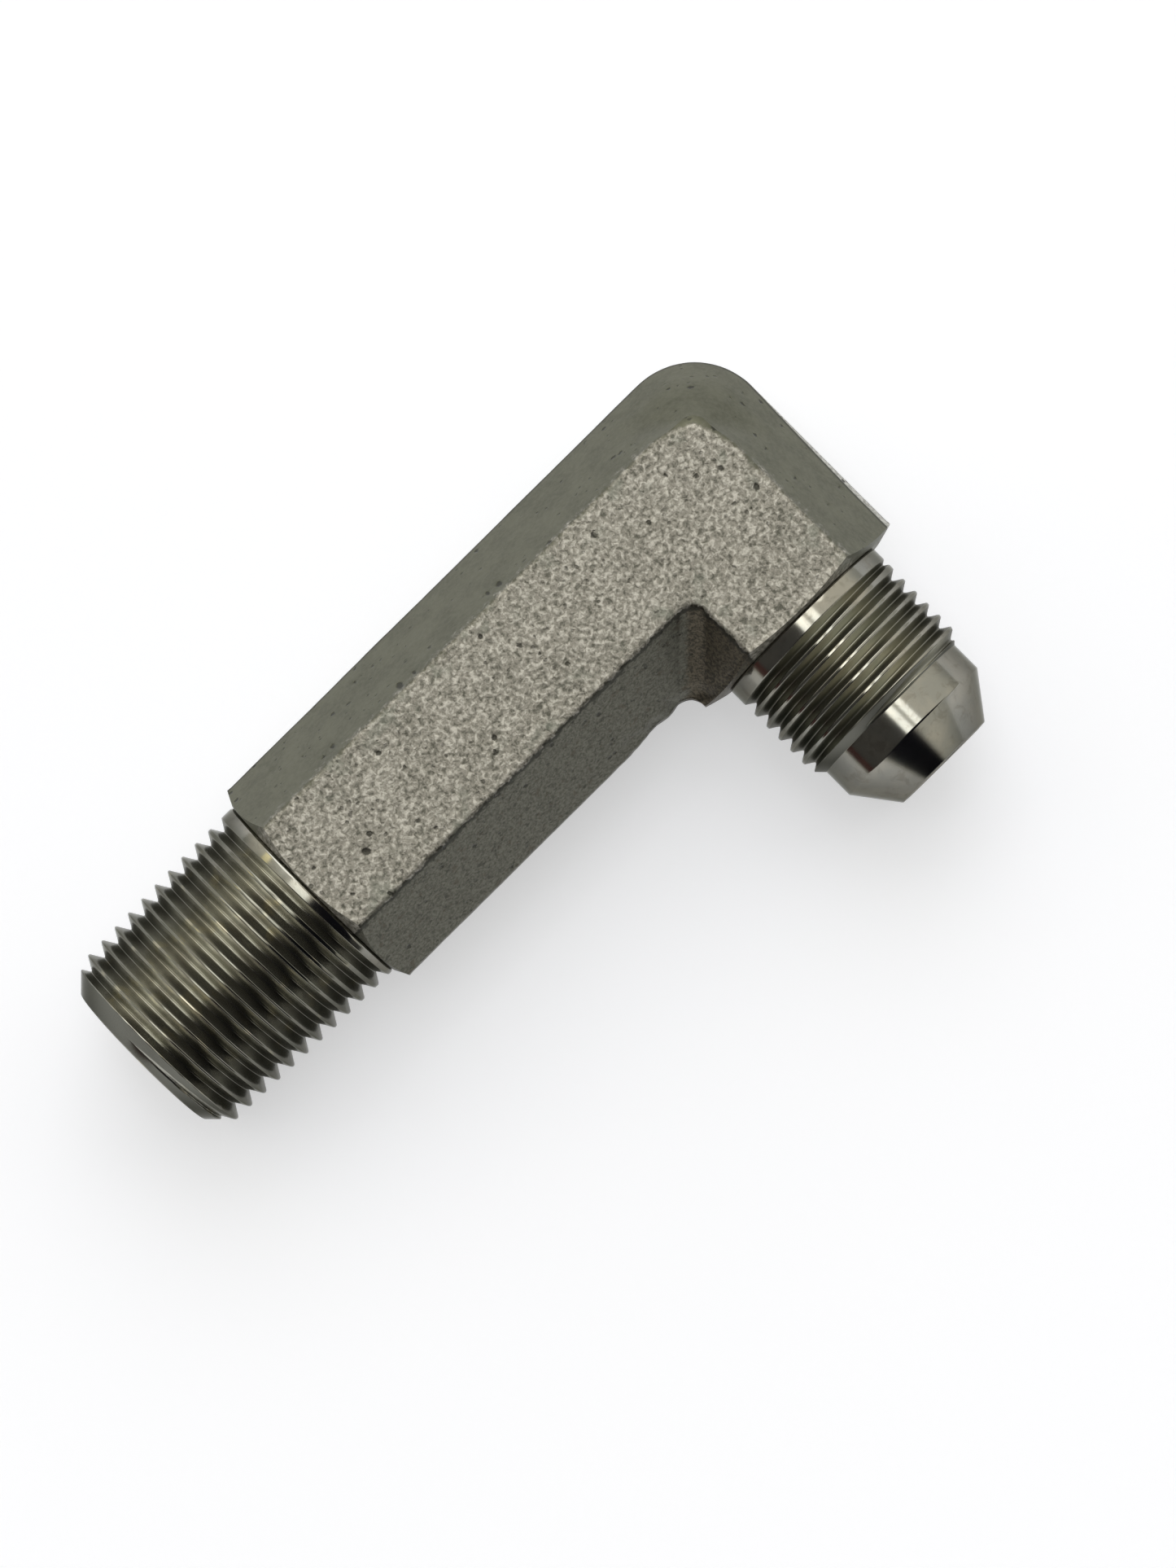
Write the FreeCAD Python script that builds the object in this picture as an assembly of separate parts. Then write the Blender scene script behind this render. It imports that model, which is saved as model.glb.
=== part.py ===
import FreeCAD, Part
import math
import os

# Hydraulic elbow adapter, forged in one piece: an extra long leg with a tapered pipe thread
# and a short leg with a straight thread and a 37 degree flare nose. Millimetres.
# The origin is where the two bore axes cross. The long leg points along +X, the short leg
# along +Y, and +Z stands square to the wrench flats.

# Forged bar: a hexagon with its side points trimmed off at the parting line
ACROSS_FLATS = 22.2
POINT_TRIM = 0.6
FLAT_CORNER_R = 1.9
INNER_CORNER_R = 2.0
FLAT_EDGE_R = 0.5

# Legs: the long one from the crossing of the axes to its shoulder, the short one from
# the long leg's side to its shoulder
LONG_LEG = 50.6
SHORT_LEG_PAST_SIDE = 2.2

# Turned chamfers where the hexagon meets each shoulder
PIPE_CHAMFER_PAST_COLLAR = 0.1
PIPE_CHAMFER_DEG = 27.0
FLARE_CHAMFER_PAST_COLLAR = 0.9
FLARE_CHAMFER_DEG = 15.0

# Tapered pipe thread, 1/2 inch size, 14 grooves to the inch
PIPE_THREAD_LENGTH = 22.6
PIPE_PITCH = 25.4 / 14
PIPE_PITCH_DIAMETER = 19.264
PIPE_HEIGHT_PER_PITCH = 0.8
PIPE_TAPER = 1 / 16
PIPE_CREST_FLAT = 0.6
PIPE_COLLAR_UNDER_CREST = 0.25
PIPE_COLLAR_LENGTH = 1.0
PIPE_COLLAR_EDGE = 0.45
PIPE_LEAD_CHAMFER = 2.05

# Straight thread of the flare leg, 3/4 inch size, 16 grooves to the inch
FLARE_THREAD_LENGTH = 10.9
FLARE_PITCH = 25.4 / 16
FLARE_THREAD_R = 9.5
FLARE_CREST_FLAT = 0.48
FLARE_COLLAR_LENGTH = 1.65
FLARE_COLLAR_EDGE = 0.25

# Nose in front of the straight thread
NOSE_STEP = 1.0
NOSE_LENGTH = 3.05
NOSE_SEAT_DEG = 37.0
NOSE_LIP = 0.45

# Bores, each drilled from its own end
PIPE_BORE_R = 6.75
FLARE_BORE_R = 4.95
PIPE_BORE_PAST_AXIS = 1.0
DRILL_POINT_DEG = 118.0
PIPE_MOUTH_CHAMFER = 0.4

FLANK_DEG = 30.0
SUNK_START = 2.0
RUN_OUT = 3.0

V = FreeCAD.Vector


def tan(degrees):
    return math.tan(math.radians(degrees))


flats_half = ACROSS_FLATS / 2
flat_half_width = flats_half * tan(30)
point_half_width = 2 * flat_half_width
side_half_width = point_half_width - POINT_TRIM
point_corner_r = FLAT_CORNER_R + point_half_width - flat_half_width
corner_centre = point_corner_r - point_half_width

pipe_shoulder = LONG_LEG
pipe_end = pipe_shoulder + PIPE_THREAD_LENGTH
pipe_end_crest_r = (PIPE_PITCH_DIAMETER + PIPE_HEIGHT_PER_PITCH * PIPE_PITCH) / 2
pipe_collar_r = pipe_end_crest_r + PIPE_THREAD_LENGTH * PIPE_TAPER / 2 - PIPE_COLLAR_UNDER_CREST
flare_shoulder = side_half_width + SHORT_LEG_PAST_SIDE
flare_thread_end = flare_shoulder + FLARE_THREAD_LENGTH
nose_r = FLARE_THREAD_R - NOSE_STEP
nose_tip_r = FLARE_BORE_R + NOSE_LIP
nose_base = flare_thread_end + NOSE_LENGTH + FLARE_THREAD_R - nose_r
flare_end = nose_base + (nose_r - nose_tip_r) / tan(NOSE_SEAT_DEG)


def along_x(shape):
    """A copy of a shape built along local Z, laid along +X, with local Y standing up."""
    laid = shape.copy()
    laid.rotate(V(0, 0, 0), V(1, 1, 1), 120)
    return laid


def along_y(shape):
    """A copy of a shape built along local Z, laid along +Y, with local Y standing up."""
    laid = along_x(shape)
    laid.rotate(V(0, 0, 0), V(0, 0, 1), 90)
    return laid


def spun(outline):
    """Solid of revolution about local Z from a closed outline of (radius, height) points."""
    corners = [V(r, 0, z) for r, z in outline]
    face = Part.Face(Part.makePolygon(corners + corners[:1]))
    return face.revolve(V(0, 0, 0), V(0, 0, 1), 360)


def upper_bar(start, end):
    """The upper half of a straight hexagonal bar along local Z, its flat square to local Y."""
    section = [
        (point_half_width, 0),
        (flat_half_width, flats_half),
        (-flat_half_width, flats_half),
        (-point_half_width, 0),
    ]
    corners = [V(x, y, start) for x, y in section]
    face = Part.Face(Part.makePolygon(corners + corners[:1]))
    return face.extrude(V(0, 0, end - start))


def upper_outer_corner():
    """The rounded outside of the elbow: the bar's side turned about an upright axis."""
    corner = spun([(0, 0), (point_corner_r, 0), (FLAT_CORNER_R, flats_half), (0, flats_half)])
    corner.translate(V(corner_centre, corner_centre, 0))
    return corner


def inner_corner_edges(shape):
    """The edges along which the inner sides of the two legs meet."""
    found = []
    for edge in shape.Edges:
        ends = [vertex.Point for vertex in edge.Vertexes]
        if all(abs(p.x - p.y) < 0.001 and p.x > 0 for p in ends):
            found.append(edge)
    return found


def flat_outline_edges(shape):
    """The edges round the wrench flat, apart from those across the legs' ends."""
    found = []
    for edge in shape.Edges:
        box = edge.BoundBox
        on_flat = box.ZMin > flats_half - 0.001
        across_end = box.XMin > pipe_shoulder - 0.001 or box.YMin > flare_shoulder - 0.001
        if on_flat and not across_end:
            found.append(edge)
    return found


def trimming_outline(inner_r):
    """The upright outline along which the flash was trimmed, as a tall solid."""
    width = 2 * side_half_width
    height = 2 * flats_half
    low = -side_half_width
    corner_r = point_corner_r - POINT_TRIM
    long_side = Part.makeBox(pipe_shoulder - corner_centre, width, height, V(corner_centre, low, -flats_half))
    short_side = Part.makeBox(width, flare_shoulder - corner_centre, height, V(low, corner_centre, -flats_half))
    corner = Part.makeCylinder(corner_r, height, V(corner_centre, corner_centre, -flats_half))
    outline = long_side.fuse([short_side, corner]).removeSplitter()
    return outline.makeFillet(inner_r, inner_corner_edges(outline))


def shoulder_chamfer(shoulder, radius, degrees):
    """Ring that is turned off the corners of the hexagon at a shoulder."""
    reach = point_half_width + 1
    back = (reach - radius) * tan(degrees)
    return spun([(radius, shoulder), (reach, shoulder), (reach, shoulder - back)])


def forged_elbow():
    """Two mirrored halves that meet at the parting line, trimmed along the outline."""
    inner_r = min(INNER_CORNER_R, 0.95 * SHORT_LEG_PAST_SIDE)
    long_leg = along_x(upper_bar(corner_centre, pipe_shoulder))
    short_leg = along_y(upper_bar(corner_centre, flare_shoulder))
    upper = long_leg.fuse([short_leg, upper_outer_corner()]).removeSplitter()
    upper = upper.makeFillet(inner_r, inner_corner_edges(upper))
    upper = upper.makeFillet(FLAT_EDGE_R, flat_outline_edges(upper))
    lower = upper.mirror(V(0, 0, 0), V(0, 0, 1))
    return upper.fuse(lower).common(trimming_outline(inner_r))


def chamfered_elbow():
    """The forging with its corners turned off at both shoulders."""
    pipe_chamfer_r = pipe_collar_r + PIPE_CHAMFER_PAST_COLLAR
    flare_chamfer_r = FLARE_THREAD_R + FLARE_CHAMFER_PAST_COLLAR
    pipe_ring = shoulder_chamfer(pipe_shoulder, pipe_chamfer_r, PIPE_CHAMFER_DEG)
    flare_ring = shoulder_chamfer(flare_shoulder, flare_chamfer_r, FLARE_CHAMFER_DEG)
    return forged_elbow().cut([along_x(pipe_ring), along_y(flare_ring)])


def grooved_rod(shoulder, end, collar_r, collar_edge, collar_length, end_r, taper, pitch, crest_flat):
    """A turned rod with a plain collar at the shoulder and sharp thread grooves past it.

    The grooves stand at the thread's pitch, with its flank angle, as separate rings. Their
    crests lie on a cone that has the radius end_r at the end. The last crest runs on past
    the end, for a chamfer to be turned there.
    """
    def crest_r(z):
        return min(end_r + (end - z) * taper / 2, collar_r)

    depth = (pitch - crest_flat) / 2 / tan(FLANK_DEG)
    outline = [
        (0, shoulder - SUNK_START),
        (collar_r - collar_edge, shoulder - SUNK_START),
        (collar_r - collar_edge, shoulder),
        (collar_r, shoulder + collar_edge),
    ]
    root = shoulder + collar_length + (pitch - crest_flat) / 2
    while root < end:
        root_r = crest_r(root) - depth
        near_r = crest_r(root - pitch / 2)
        far_r = crest_r(root + pitch / 2)
        outline += [
            (near_r, root - (near_r - root_r) * tan(FLANK_DEG)),
            (root_r, root),
            (far_r, root + (far_r - root_r) * tan(FLANK_DEG)),
        ]
        root += pitch
    past_end = max(end, outline[-1][1]) + RUN_OUT
    outline += [(outline[-1][0], past_end), (0, past_end)]
    return spun(outline)


def pipe_thread_end():
    """The tapered thread with its collar and the 45 degree lead chamfer."""
    rod = grooved_rod(
        pipe_shoulder, pipe_end - PIPE_LEAD_CHAMFER, pipe_collar_r, PIPE_COLLAR_EDGE, PIPE_COLLAR_LENGTH,
        pipe_end_crest_r, PIPE_TAPER, PIPE_PITCH, PIPE_CREST_FLAT,
    )
    reach = pipe_collar_r + 1
    tip_r = pipe_end_crest_r - PIPE_LEAD_CHAMFER
    envelope = spun([
        (0, pipe_shoulder - SUNK_START),
        (reach, pipe_shoulder - SUNK_START),
        (reach, pipe_end - (reach - tip_r)),
        (tip_r, pipe_end),
        (0, pipe_end),
    ])
    return along_x(rod.common(envelope))


def flare_thread_and_nose():
    """The straight thread with its collar, and the plain nose with the flare seat."""
    rod = grooved_rod(
        flare_shoulder, flare_thread_end, FLARE_THREAD_R, FLARE_COLLAR_EDGE, FLARE_COLLAR_LENGTH,
        FLARE_THREAD_R, 0, FLARE_PITCH, FLARE_CREST_FLAT,
    )
    reach = FLARE_THREAD_R + 1
    envelope = spun([
        (0, flare_shoulder - SUNK_START),
        (reach, flare_shoulder - SUNK_START),
        (reach, flare_thread_end - (reach - FLARE_THREAD_R)),
        (nose_r, flare_thread_end + FLARE_THREAD_R - nose_r),
        (0, flare_thread_end + FLARE_THREAD_R - nose_r),
    ])
    nose = spun([
        (0, flare_shoulder),
        (nose_r, flare_shoulder),
        (nose_r, nose_base),
        (nose_tip_r, flare_end),
        (0, flare_end),
    ])
    return along_y(rod.common(envelope).fuse(nose))


def drilled(radius, bottom, mouth, mouth_chamfer):
    """A blind hole along local Z with a drill point at its bottom, out past its mouth."""
    point = radius / tan(DRILL_POINT_DEG / 2)
    return spun([
        (0, bottom - point),
        (radius, bottom),
        (radius, mouth - mouth_chamfer),
        (radius + mouth_chamfer + 1, mouth + 1),
        (0, mouth + 1),
    ])


def bores():
    """The long bore and the flare bore, which meet in the elbow."""
    long_bore = along_x(drilled(PIPE_BORE_R, -PIPE_BORE_PAST_AXIS, pipe_end, PIPE_MOUTH_CHAMFER))
    flare_bore = along_y(drilled(FLARE_BORE_R, 0, flare_end + 1, 0))
    return [long_bore, flare_bore]


def elbow_body():
    turned_ends = [pipe_thread_end(), flare_thread_and_nose()]
    return chamfered_elbow().fuse(turned_ends).cut(bores()).removeSplitter().Solids[0]


os.makedirs("parts", exist_ok=True)
elbow_body().exportStep("parts/elbow_body.step")
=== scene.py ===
import math

import bpy
import numpy as np
from mathutils import Matrix, Vector, noise


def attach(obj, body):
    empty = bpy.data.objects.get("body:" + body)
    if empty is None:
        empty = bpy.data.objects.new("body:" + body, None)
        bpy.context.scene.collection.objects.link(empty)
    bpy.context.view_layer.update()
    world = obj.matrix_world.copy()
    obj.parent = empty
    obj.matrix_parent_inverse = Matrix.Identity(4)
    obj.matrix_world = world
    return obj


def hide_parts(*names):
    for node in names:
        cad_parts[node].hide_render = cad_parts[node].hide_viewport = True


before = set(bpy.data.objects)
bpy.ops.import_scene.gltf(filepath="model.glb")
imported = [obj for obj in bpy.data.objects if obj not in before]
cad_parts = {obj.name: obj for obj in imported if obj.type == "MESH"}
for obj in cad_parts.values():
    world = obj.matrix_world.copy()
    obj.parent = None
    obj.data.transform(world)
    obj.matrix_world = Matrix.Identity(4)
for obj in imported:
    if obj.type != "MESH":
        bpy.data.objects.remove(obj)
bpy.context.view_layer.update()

# Sizes in millimetres, in the part's own frame: the long leg points along +X, the short leg
# along +Y, the wrench flats face +Z and -Z, and the origin is where the bore axes cross.
MM = 0.001
INCH = 25.4

# Forged hexagon
FLATS_HALF = 11.1
FLAT_HALF_WIDTH = FLATS_HALF * math.tan(math.radians(30))
POINT_TRIM = 0.6
SIDE_HALF_WIDTH = 2 * FLAT_HALF_WIDTH - POINT_TRIM
LAND_HALF_HEIGHT = POINT_TRIM * math.tan(math.radians(60))
FLAT_EDGE_R = 0.5
LAND_EDGE_R = 0.12
OUTER_CORNER_R = 1.9
OUTER_CENTRE = OUTER_CORNER_R - FLAT_HALF_WIDTH
INNER_CORNER_R = 2.0
INNER_CORNER_R_AT_FLAT = 1.75
INNER_ARC_START = 8
CREASE_R = 0.4
CREASE_START = -2

# Shoulders: place along the leg, radius of the turned chamfer's rim and its angle
PIPE_SHOULDER = 50.6
PIPE_TURNING = (PIPE_SHOULDER, 10.91, 27)
FLARE_SHOULDER = SIDE_HALF_WIDTH + 2.2
FLARE_TURNING = (FLARE_SHOULDER, 10.4, 15)
TURNED_MARGIN = 0.5

# Bores
PIPE_BORE_R = 6.75
FLARE_BORE_R = 4.95
DRILL_POINT_DEG = 118
PIPE_BORE_BOTTOM = -1.0
DRILL_REACH = PIPE_BORE_R / math.tan(math.radians(DRILL_POINT_DEG / 2)) - PIPE_BORE_BOTTOM + 0.1
DRILL_OVERRUN = 3
BORE_WALL_MARGIN = 0.05

# Forged surface: relief depths, the blunt outer corner of the flats and the ragged crook
SPECKLE_DEPTH = 0.05
BEVEL_DEPTH = 0.03
WAVE_DEPTH = 0.05
BLUNT_CORNER = 1.5
BLUNT_REACH = BLUNT_CORNER + 0.7
BLUNT_DROP = 0.16
RAGGED_PARTING = 0.3
CROOK = (10, 13)

# Mesh: grid spacing, steps round a rounded edge, rows round the elbow, segments of a circle
GRID = 0.262
EDGE_STEPS = 3
ELBOW_ROWS = 44
SEGMENTS = 144
SHOULDER_DISC_R = 1.0
CHAMFER_STEPS = (0.34, 0.67, 1.0)


def smoothstep(low, high, value):
    """0 below low, 1 above high and a smooth rise between."""
    t = np.clip((value - low) / (high - low), 0, 1)
    return t * t * (3 - 2 * t)


def mesh_object(name, points_mm, faces):
    """A mesh object from points in millimetres and a list of faces."""
    mesh = bpy.data.meshes.new(name)
    mesh.from_pydata((np.asarray(points_mm) * MM).tolist(), [], faces)
    mesh.validate()
    mesh.update()
    obj = bpy.data.objects.new(name, mesh)
    bpy.context.scene.collection.objects.link(obj)
    return obj


def points_of(mesh):
    """The mesh's vertices in millimetres."""
    co = np.empty(len(mesh.vertices) * 3)
    mesh.vertices.foreach_get("co", co)
    return co.reshape(-1, 3) / MM


def normals_of(mesh):
    """The mesh's vertex normals."""
    normals = np.empty(len(mesh.vertices) * 3)
    mesh.vertices.foreach_get("normal", normals)
    return normals.reshape(-1, 3)


def set_points(mesh, points_mm):
    """Moves the mesh's vertices to places in millimetres."""
    mesh.vertices.foreach_set("co", (points_mm * MM).ravel())
    mesh.update()


def add_attribute(mesh, name, values):
    """Stores one number per vertex for the materials to read."""
    layer = mesh.attributes.new(name, "FLOAT", "POINT")
    layer.data.foreach_set("value", np.asarray(values, dtype=np.float32))


def shade_smooth(obj, degrees):
    """Smooth shading with sharp edges where the surface turns by more than the angle."""
    obj.data.polygons.foreach_set("use_smooth", [True] * len(obj.data.polygons))
    obj.data.set_sharp_from_angle(angle=math.radians(degrees))


def noise_field(points, size_mm, seed):
    """Smooth noise of about -1 to 1, with grains of the given size."""
    shift = Vector((seed * 17.3, seed * 5.7, seed * 11.1))
    return np.array([noise.noise(Vector(p) / size_mm + shift) for p in points.tolist()])


# Forged body

def rounded_outline(corners, radii, spacing):
    """Points round a closed outline of straight sides with rounded corners."""
    outline = []
    count = len(corners)
    arcs = []
    for i in range(count):
        here = np.array(corners[i], float)
        back = np.array(corners[i - 1], float) - here
        ahead = np.array(corners[(i + 1) % count], float) - here
        back /= np.linalg.norm(back)
        ahead /= np.linalg.norm(ahead)
        half_angle = math.acos(np.dot(back, ahead)) / 2
        reach = radii[i] / math.tan(half_angle)
        inward = (back + ahead) / np.linalg.norm(back + ahead)
        centre = here + inward * radii[i] / math.sin(half_angle)
        arcs.append((here + back * reach, centre, here + ahead * reach))
    for i in range(count):
        start, centre, end = arcs[i]
        for k in range(EDGE_STEPS + 1):
            share = k / EDGE_STEPS
            chord = start * (1 - share) + end * share - centre
            outline.append(centre + chord / np.linalg.norm(chord) * radii[i])
        side = arcs[(i + 1) % count][0] - end
        steps = max(1, round(np.linalg.norm(side) / spacing))
        for k in range(1, steps):
            outline.append(end + side * k / steps)
    return np.array(outline)


def hexagon_outline():
    """The hexagon's section as (distance outwards from the leg's axis, height)."""
    right_top = [(SIDE_HALF_WIDTH, LAND_HALF_HEIGHT), (FLAT_HALF_WIDTH, FLATS_HALF)]
    left_top = [(-across, up) for across, up in reversed(right_top)]
    top = right_top + left_top
    corners = top + [(across, -up) for across, up in reversed(top)]
    land, flat = LAND_EDGE_R, FLAT_EDGE_R
    return rounded_outline(corners, [land, flat, flat, land, land, flat, flat, land], GRID)


def plan_corner_r(outwards):
    """Corner radius, seen from above, of the line at that distance outwards of the axes."""
    radius_at = {
        -SIDE_HALF_WIDTH: INNER_CORNER_R,
        -FLAT_HALF_WIDTH: INNER_CORNER_R_AT_FLAT,
        CREASE_START: CREASE_R,
        CREASE_R - OUTER_CENTRE: CREASE_R,
        SIDE_HALF_WIDTH: SIDE_HALF_WIDTH + OUTER_CENTRE,
    }
    return np.interp(outwards, list(radius_at), list(radius_at.values()))


def plan_point(outwards, start_x, s):
    """Place on a line that runs down the long leg (s 0 to 1), round the corner (1 to 2)
    and up the short leg (2 to 3)."""
    radius = plan_corner_r(outwards)
    centre = radius - outwards
    angle = -math.pi / 2 * (1 + np.clip(s - 1, 0, 1))
    x = centre + radius * np.cos(angle)
    y = centre + radius * np.sin(angle)
    x = np.where(s < 1, start_x + (centre - start_x) * s, x)
    y = np.where(s < 1, -outwards, y)
    x = np.where(s > 2, -outwards, x)
    y = np.where(s > 2, centre + (FLARE_SHOULDER - centre) * (s - 2), y)
    return x, y


def turned_edge(across, up, shoulder, chamfer_r, chamfer_deg):
    """How far along the leg the skin reaches before the shoulder's chamfer cuts it."""
    rise = np.maximum(0, np.hypot(across, up) - chamfer_r)
    return shoulder - rise * math.tan(math.radians(chamfer_deg))


def flare_end_s(outwards, height, start_x):
    """The s of plan_point where each line meets the flare shoulder's chamfer, by halving."""
    low = np.ones_like(outwards)
    high = np.full_like(outwards, 3.0)
    for _ in range(50):
        middle = (low + high) / 2
        x, y = plan_point(outwards, start_x, middle)
        past = y > turned_edge(x, height, *FLARE_TURNING)
        high = np.where(past, middle, high)
        low = np.where(past, low, middle)
    return low


def forged_grid():
    """Rows of points that run round the hexagon, from the pipe shoulder to the flare shoulder."""
    outwards, height = hexagon_outline().T
    start_x = turned_edge(outwards, height, *PIPE_TURNING)
    end_s = flare_end_s(outwards, height, start_x)
    # A line that ends before it is round the corner keeps a little length for the short leg.
    turn_s = np.minimum(2, end_s - 0.02)

    long_rows = round(PIPE_SHOULDER / GRID)
    # The outer lines of the short leg start behind the origin, so it takes more rows.
    short_rows = round(FLARE_SHOULDER * 1.15 / GRID)
    rows = [np.full_like(outwards, k / long_rows) for k in range(long_rows)]
    rows += [1 + (turn_s - 1) * k / ELBOW_ROWS for k in range(ELBOW_ROWS)]
    rows += [turn_s + (end_s - turn_s) * k / short_rows for k in range(short_rows + 1)]
    grid = []
    for s in rows:
        x, y = plan_point(outwards, start_x, s)
        grid.append(np.column_stack([x, y, height]))
    return np.array(grid)


def shoulder_rings(edge, axis, shoulder, chamfer_r):
    """Rings from the hexagon's edge in over the turned chamfer and the shoulder face."""
    side = 1 - axis
    across = edge[:, side]
    up = edge[:, 2]
    reach = np.hypot(across, up)
    rings = []
    for step in CHAMFER_STEPS:
        ring = edge.copy()
        scale = 1 + (np.minimum(1, chamfer_r / reach) - 1) * step
        ring[:, side] = across * scale
        ring[:, 2] = up * scale
        ring[:, axis] = edge[:, axis] + (shoulder - edge[:, axis]) * step
        rings.append(ring)
    last = rings[-1].copy()
    scale = SHOULDER_DISC_R / np.hypot(last[:, side], last[:, 2])
    last[:, side] *= scale
    last[:, 2] *= scale
    rings.append(last)
    return rings


def tube_faces(rows, columns):
    """Quads of a grid that closes round its columns, and a lid at either end."""
    faces = []
    for here in range(0, (rows - 1) * columns, columns):
        there = here + columns
        for c in range(columns):
            d = (c + 1) % columns
            faces.append((here + c, here + d, there + d, there + c))
    faces.append(tuple(range(columns))[::-1])
    faces.append(tuple((rows - 1) * columns + c for c in range(columns)))
    return faces


def outwards_of(points):
    """Distance outwards of the two legs' axes, seen from above."""
    x, y = points[:, 0], points[:, 1]
    straight = -np.minimum(x, y)
    outer = np.hypot(x - OUTER_CENTRE, y - OUTER_CENTRE) - OUTER_CENTRE
    inner_r = INNER_CORNER_R_AT_FLAT
    spread = np.maximum(0, 2 * inner_r ** 2 - (x - y) ** 2)
    inner = inner_r - (x + y + np.sqrt(spread)) / 2
    in_inner = (x + y > INNER_ARC_START) & (np.abs(x - y) < inner_r)
    in_outer = (x < OUTER_CENTRE) & (y < OUTER_CENTRE)
    return np.where(in_outer, outer, np.where(in_inner, inner, straight))


# Notable pits of the upper side: place along X, place along Y, length, depth
PITS = [
    (28.6, 2.7, 0.42, 0.15), (37.2, -3.8, 0.42, 0.15), (44.4, 1.9, 0.55, 0.2),
    (22.9, -4.9, 0.38, 0.14), (-5.0, 3.3, 0.5, 0.15), (0.2, -3.4, 0.35, 0.12),
    (38.3, 4.9, 0.35, 0.12), (48.1, 3.8, 0.35, 0.12), (45.6, -6.2, 0.35, 0.12),
    (18.2, -7.25, 0.5, 0.14), (19.6, -7.4, 0.4, 0.12), (31.4, -7.0, 0.6, 0.14),
    (29.6, -6.9, 0.4, 0.12), (39.8, -7.4, 0.45, 0.12), (41.1, -7.3, 0.35, 0.12),
    (34.2, -10.8, 0.3, 0.1), (45.5, -10.2, 0.35, 0.08), (42.3, -10.0, 0.25, 0.08),
    (42.5, -9.0, 0.22, 0.08), (-8.5, -3.0, 0.25, 0.08), (-8.4, 1.1, 0.28, 0.1),
    (-8.4, 5.0, 0.28, 0.1), (-7.5, 4.7, 0.22, 0.08), (-11.1, 8.2, 0.3, 0.08),
    (-8.9, 8.9, 0.25, 0.08), (-3.2, -10.5, 0.25, 0.08), (0.25, -7.9, 0.3, 0.08),
    (-9.6, -4.8, 0.25, 0.08), (-10.9, -4.5, 0.25, 0.08),
]


def pit_depth(points):
    """How deep the notable pits are at each point of the upper side."""
    depth = np.zeros(len(points))
    upper = np.flatnonzero(points[:, 2] > 0)
    ragged = 0.3 * noise_field(points[upper], 0.25, 6)
    for x, y, length, deep in PITS:
        away = np.hypot(points[upper, 0] - x, points[upper, 1] - y) / length * 1.7 + ragged
        depth[upper] = np.maximum(depth[upper], deep * np.exp(-np.maximum(away, 0) ** 2))
    return depth


def corner_drop(points, border):
    """The flat's outer corner is blunt: it slopes down to the bevels there."""
    reach = BLUNT_REACH * smoothstep(6.0, 11.5, -(points[:, 0] + points[:, 1]))
    on_flat = np.clip(reach - border, 0, None) ** 2
    on_bevel = reach ** 2 * (1 - smoothstep(-0.5, 4, -border))
    return BLUNT_DROP * np.where(border > 0, on_flat, on_bevel)


def ragged_parting(points):
    """The forging's trimmed parting edge is ragged in the crook between the legs."""
    outwards = outwards_of(points)
    near_edge = smoothstep(SIDE_HALF_WIDTH - 1.6, SIDE_HALF_WIDTH - 0.2, -outwards)
    from_crook = np.hypot(points[:, 0] - CROOK[0], points[:, 1] - CROOK[1])
    near_crook = 1 - smoothstep(8, 14, from_crook)
    ragged = np.clip(0.5 + 1.3 * noise_field(points * (1, 1, 0.2), 1.4, 8), 0, 1)
    return RAGGED_PARTING * near_edge * near_crook * ragged


def relief_depth(points):
    """How far the forged and shot-blasted skin lies under the true hexagon."""
    border = FLAT_HALF_WIDTH - np.abs(outwards_of(points))
    on_flat = smoothstep(-0.5, 0.4, border + 0.35 * noise_field(points, 0.9, 1))
    speckle = 0.5 + 0.5 * noise_field(points, 0.55, 2) + 0.25 * noise_field(points, 1.1, 3)
    wave = 0.5 + 0.5 * noise_field(points, 6.0, 4)
    dimple = 0.5 + 0.5 * noise_field(points, 1.3, 5)
    depth = on_flat * SPECKLE_DEPTH * np.clip(speckle, 0, 1.2)
    depth += (1 - on_flat) * BEVEL_DEPTH * dimple
    depth += WAVE_DEPTH * wave
    return depth + pit_depth(points) + corner_drop(points, border) + ragged_parting(points)


def away_from_turning(points):
    """0 where the surface is turned at the shoulders, 1 past a margin from them."""
    x, y, z = points.T
    from_pipe = smoothstep(0.0, TURNED_MARGIN, turned_edge(y, z, *PIPE_TURNING) - x)
    from_flare = smoothstep(0.0, TURNED_MARGIN, turned_edge(x, z, *FLARE_TURNING) - y)
    on_short_leg = x < SIDE_HALF_WIDTH + INNER_CORNER_R
    return from_pipe * np.where(on_short_leg, from_flare, 1)


def revolved(name, outline, axis):
    """A closed solid of revolution about X (axis 0) or Y (axis 1) from (place, radius)
    points whose first and last lie on the axis."""
    points = []
    inner = outline[1:-1]
    for k in range(SEGMENTS):
        angle = 2 * math.pi * k / SEGMENTS
        for place, radius in inner:
            point = [0, 0, radius * math.sin(angle)]
            point[axis] = place
            point[1 - axis] = radius * math.cos(angle)
            points.append(point)
    start, end = len(points), len(points) + 1
    for place in (outline[0][0], outline[-1][0]):
        point = [0, 0, 0]
        point[axis] = place
        points.append(point)
    faces = []
    count = len(inner)
    for k in range(SEGMENTS):
        here = k * count
        there = (k + 1) % SEGMENTS * count
        for i in range(count - 1):
            faces.append((here + i, here + i + 1, there + i + 1, there + i))
        faces.append((start, here, there))
        faces.append((end, there + count - 1, here + count - 1))
    if axis == 0:
        faces = [face[::-1] for face in faces]
    return mesh_object(name, points, faces)


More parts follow.
